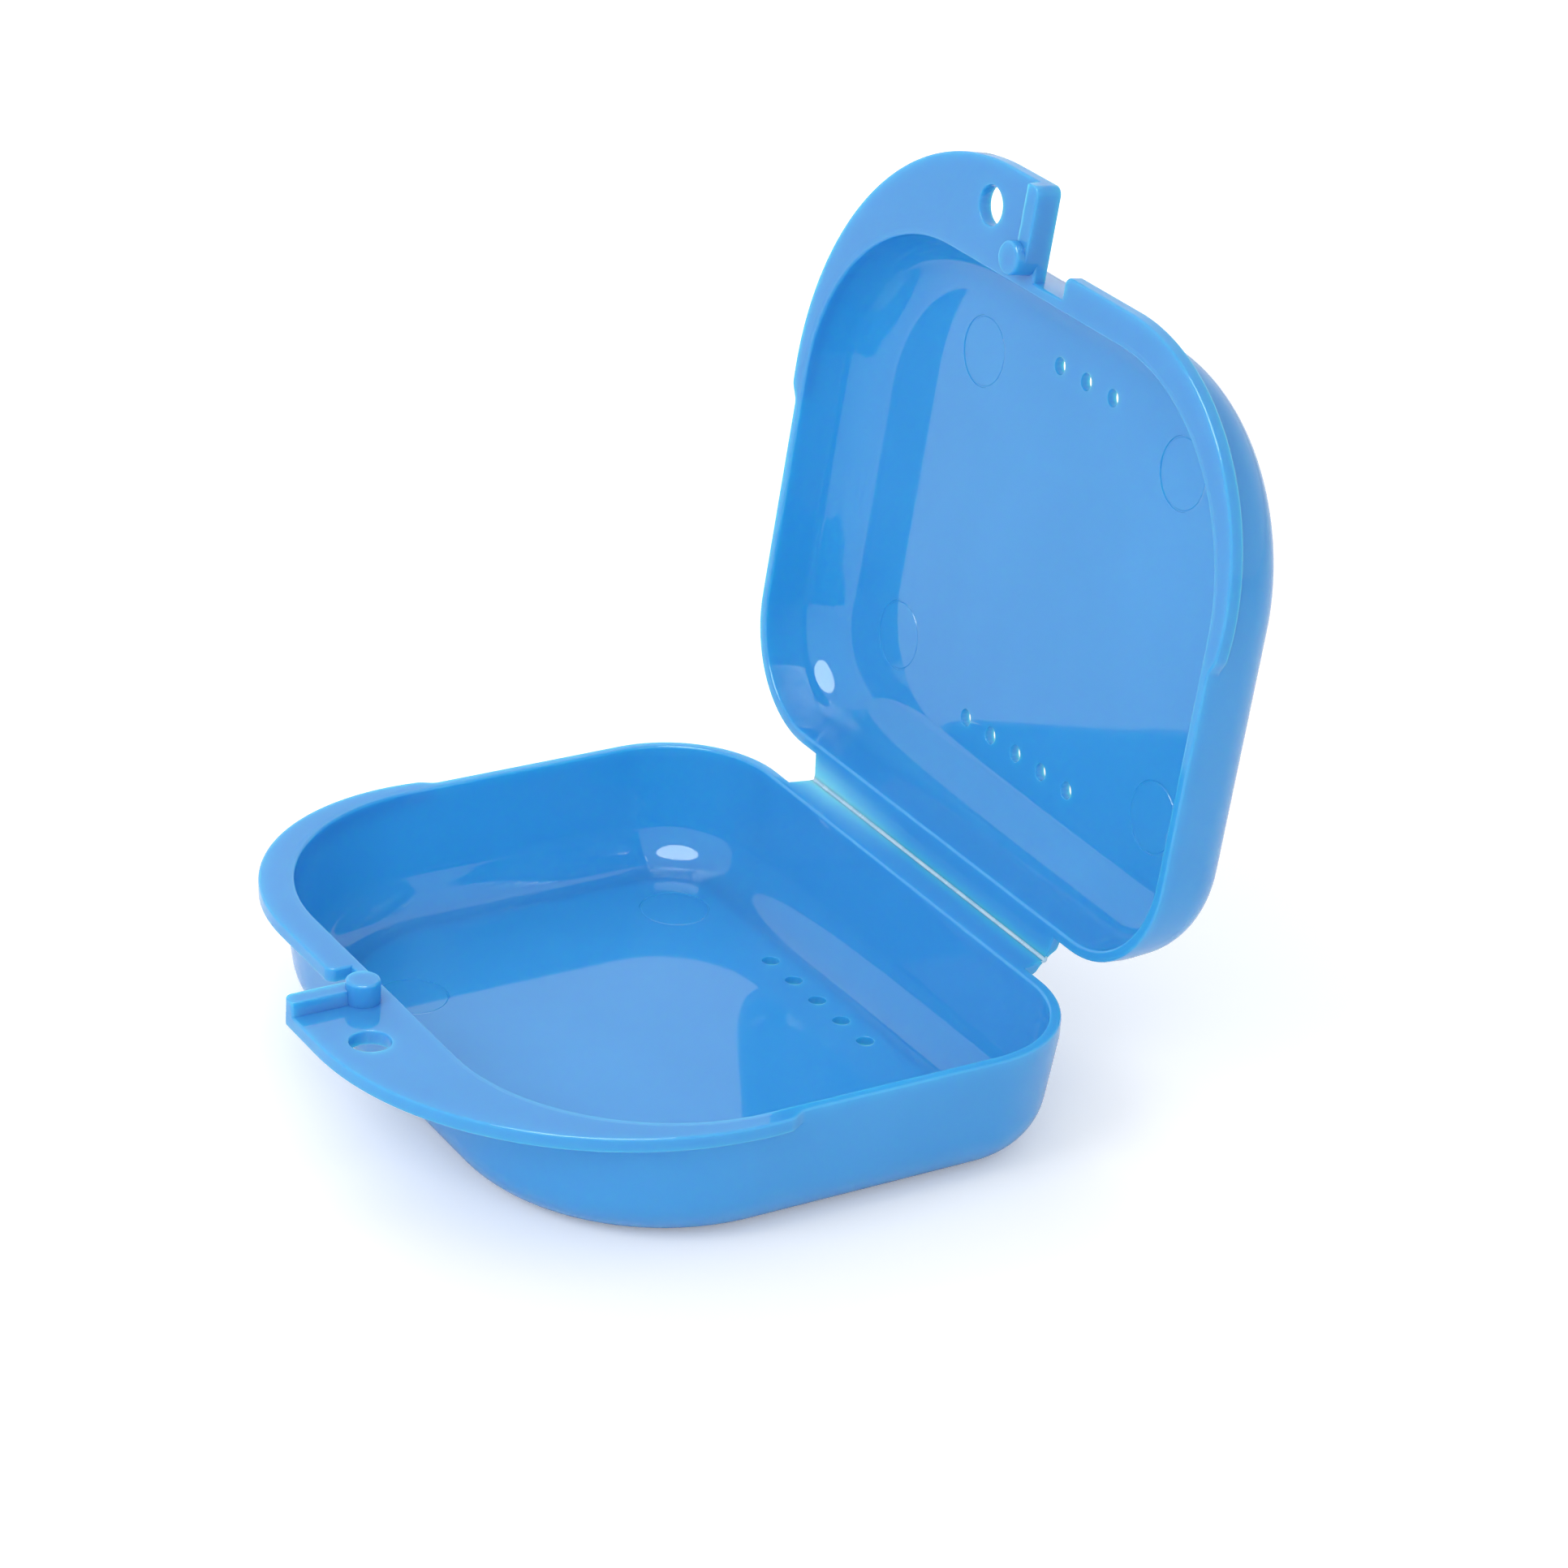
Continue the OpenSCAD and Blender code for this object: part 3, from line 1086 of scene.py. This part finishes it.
@dataclass(frozen=True)
class SoftLamp:
    """A soft round lamp that faces the case, with its size in metres and power in watts."""

    name: str
    spot: Place
    size: float
    power: float
    use: LampUse = LampUse.LIGHTS
    colour: Colour = WHITE
    aim: Place = (0.0, 0.01, 0.03)

    def hang(self) -> None:
        """Adds the lamp to the scene."""
        light = bpy.data.lights.new(self.name, "AREA")
        light.shape = "DISK"
        light.size = self.size
        light.energy = self.power
        light.color = self.colour
        made = bpy.data.objects.new(self.name, light)
        made.visible_glossy = self.use is LampUse.MIRRORED
        made.visible_diffuse = self.use is LampUse.LIGHTS
        made.location = self.spot
        made.rotation_mode = "QUATERNION"
        made.rotation_quaternion = (Vector(self.aim) - Vector(self.spot)).to_track_quat("-Z", "Y")
        bpy.context.scene.collection.objects.link(made)


@dataclass
class Studio:
    """Pale floor, white surround, soft lamps and the camera."""

    eye: Place = (0.389233, -0.225102, 0.24844)
    target: Place = (0.008206, 0.010773, 0.032906)
    roll: float = 3.4
    lens: float = 111.224
    sensor: float = 36.0
    clip: Point = (0.01, 20.0)
    floor_size: float = 3.0
    floor_greys: tuple[Colour, Colour] = ((0.90, 0.90, 0.90), (0.92, 0.92, 0.92))
    floor_scale: float = 6.0
    floor_detail: float = 2.0
    lift_span: Point = (0.2, 0.7)
    floor_lift: Point = (0.22, 0.4)
    surround: float = 0.74
    lamps: tuple[SoftLamp, ...] = (
        SoftLamp("key_lamp", (0.12, -0.45, 0.42), 0.3, 0.88),
        SoftLamp("side_lamp", (0.5, -0.35, 0.35), 0.5, 0.8),
        SoftLamp("back_lamp", (-0.5, 0.12, 0.3), 0.5, 1.6),
        SoftLamp("soft_box", (0.15, -0.15, 0.62), 0.45, 4.6,
                 use=LampUse.MIRRORED, colour=(0.88, 1.0, 0.94)),
    )

    def floor_material(self) -> bpy.types.Material:
        """Makes the matt floor, which the camera sees a little lighter than it is lit.

        Returns:
            The floor's material.
        """
        board = ShaderBoard("pale_floor")
        where = board.coordinates()
        drift = board.noise(where, self.floor_scale, self.floor_detail)
        matt = board.add("ShaderNodeBsdfDiffuse")
        board.join(board.tint(drift, *self.floor_greys), matt.inputs["Color"])
        away = board.measure("LENGTH", where).outputs["Value"]
        lifted = board.spread(away, self.lift_span, self.floor_lift)
        watched = board.add("ShaderNodeLightPath").outputs["Is Camera Ray"]
        lift = board.add("ShaderNodeEmission")
        board.join(board.calculate("MULTIPLY", watched, lifted), lift.inputs["Strength"])
        both = board.add("ShaderNodeAddShader")
        board.join(matt.outputs[0], both.inputs[0])
        board.join(lift.outputs[0], both.inputs[1])
        return board.finished(both)

    def floor(self) -> None:
        """Lays the pale floor under the case."""
        reach = self.floor_size / 2
        shape = bmesh.new()
        corners = [(-reach, -reach), (reach, -reach), (reach, reach), (-reach, reach)]
        shape.faces.new([shape.verts.new((x, y, 0.0)) for x, y in corners])
        made = linked("studio_floor", shape)
        made.data.materials.append(self.floor_material())

    def world(self) -> None:
        """Makes the surround white to the eye and to reflections, and soft as a light."""
        made = bpy.data.worlds.new("studio_surround")
        bpy.context.scene.world = made
        made.use_nodes = True
        tree = made.node_tree
        tree.nodes.clear()
        path = tree.nodes.new("ShaderNodeLightPath")
        seen = path.outputs["Is Camera Ray"]
        for name in ("Is Glossy Ray", "Is Transmission Ray"):
            either = tree.nodes.new("ShaderNodeMath")
            either.operation = "MAXIMUM"
            tree.links.new(seen, either.inputs[0])
            tree.links.new(path.outputs[name], either.inputs[1])
            seen = either.outputs[0]
        level = tree.nodes.new("ShaderNodeMapRange")
        level.inputs["To Min"].default_value = self.surround
        level.inputs["To Max"].default_value = 1.0
        tree.links.new(seen, level.inputs["Value"])
        sky = tree.nodes.new("ShaderNodeBackground")
        sky.inputs["Color"].default_value = (*WHITE, 1.0)
        tree.links.new(level.outputs["Result"], sky.inputs["Strength"])
        tree.links.new(sky.outputs[0], tree.nodes.new("ShaderNodeOutputWorld").inputs["Surface"])

    def camera(self) -> None:
        """Sets the camera where the photograph was taken from."""
        view = bpy.data.cameras.new("photo_view")
        view.sensor_width = self.sensor
        view.lens = self.lens
        view.clip_start, view.clip_end = self.clip
        ahead = (Vector(self.target) - Vector(self.eye)).normalized()
        level = ahead.cross(Vector((0.0, 0.0, 1.0))).normalized()
        upright = level.cross(ahead)
        lean = math.radians(self.roll)
        right = level * math.cos(lean) + upright * math.sin(lean)
        above = upright * math.cos(lean) - level * math.sin(lean)
        turned = Matrix((right, above, -ahead)).transposed().to_4x4()
        made = bpy.data.objects.new("photo_view", view)
        made.matrix_world = Matrix.Translation(self.eye) @ turned
        bpy.context.scene.collection.objects.link(made)
        bpy.context.scene.camera = made

    def build(self) -> None:
        """Sets up the whole studio."""
        bpy.context.scene.view_settings.view_transform = "Standard"
        self.floor()
        self.world()
        for lamp in self.lamps:
            lamp.hang()
        self.camera()


def main() -> None:
    """Builds the case and the studio."""
    logging.basicConfig(level=logging.INFO, format="%(name)s: %(message)s")
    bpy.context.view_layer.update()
    blue = BlueMoulding()
    for half, depth in TRAY_DEPTHS.items():
        tray = MouldedHalf(half, depth)
        moulding = tray.build()
        tray.dress(moulding, blue)
        LOG.info("%s rides on %s", moulding.name, half.value)
    film = FoldFilm()
    web = film.build()
    film.dress(web, ThinFold())
    LOG.info("%s bends between base and lid", web.name)
    Studio().build()


if __name__ == "__main__":
    main()
